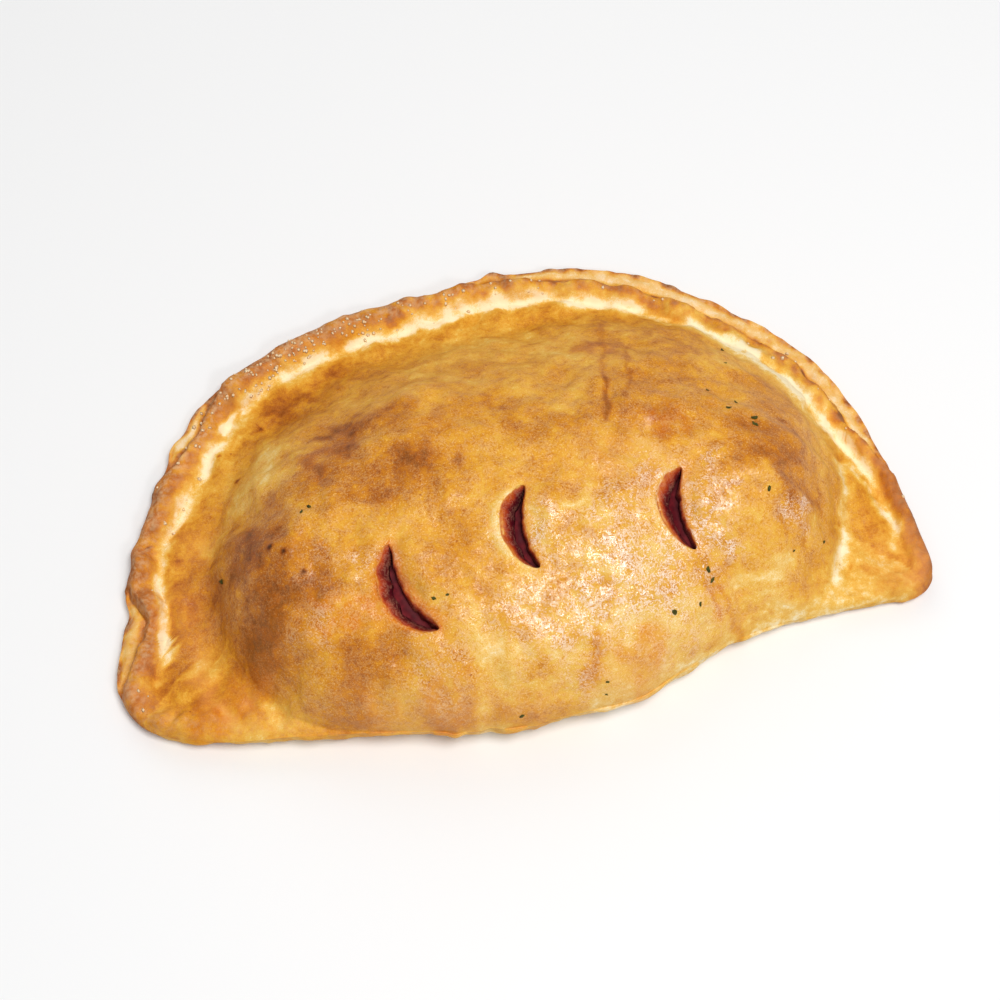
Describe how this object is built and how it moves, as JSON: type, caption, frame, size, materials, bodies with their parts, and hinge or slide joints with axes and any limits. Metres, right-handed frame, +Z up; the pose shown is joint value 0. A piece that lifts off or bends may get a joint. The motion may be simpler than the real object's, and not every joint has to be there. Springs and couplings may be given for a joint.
{
  "type": "panzerotto",
  "caption": "Large baked half-moon pasty of folded dough with a sealed rim along its curved side and crescent vents that show a dark red tomato filling.",
  "frame": {"origin": "on the resting plane, under the middle of the part's bounding box", "axes": "+X from the left tip to the right tip, seen from the folded edge; +Y from the folded edge to the sealed curved rim; +Z up"},
  "size_m": [0.2505, 0.1591, 0.0504],
  "materials": {
    "baked_dough": "baked bread dough, golden to brown, with a thin oily glaze on the dome and a floury rim",
    "tomato_filling": "wet cooked tomato filling, dark red"
  },
  "bodies": {
    "root": {"crust": "baked_dough", "filling": "tomato_filling"}
  },
  "joints": []
}
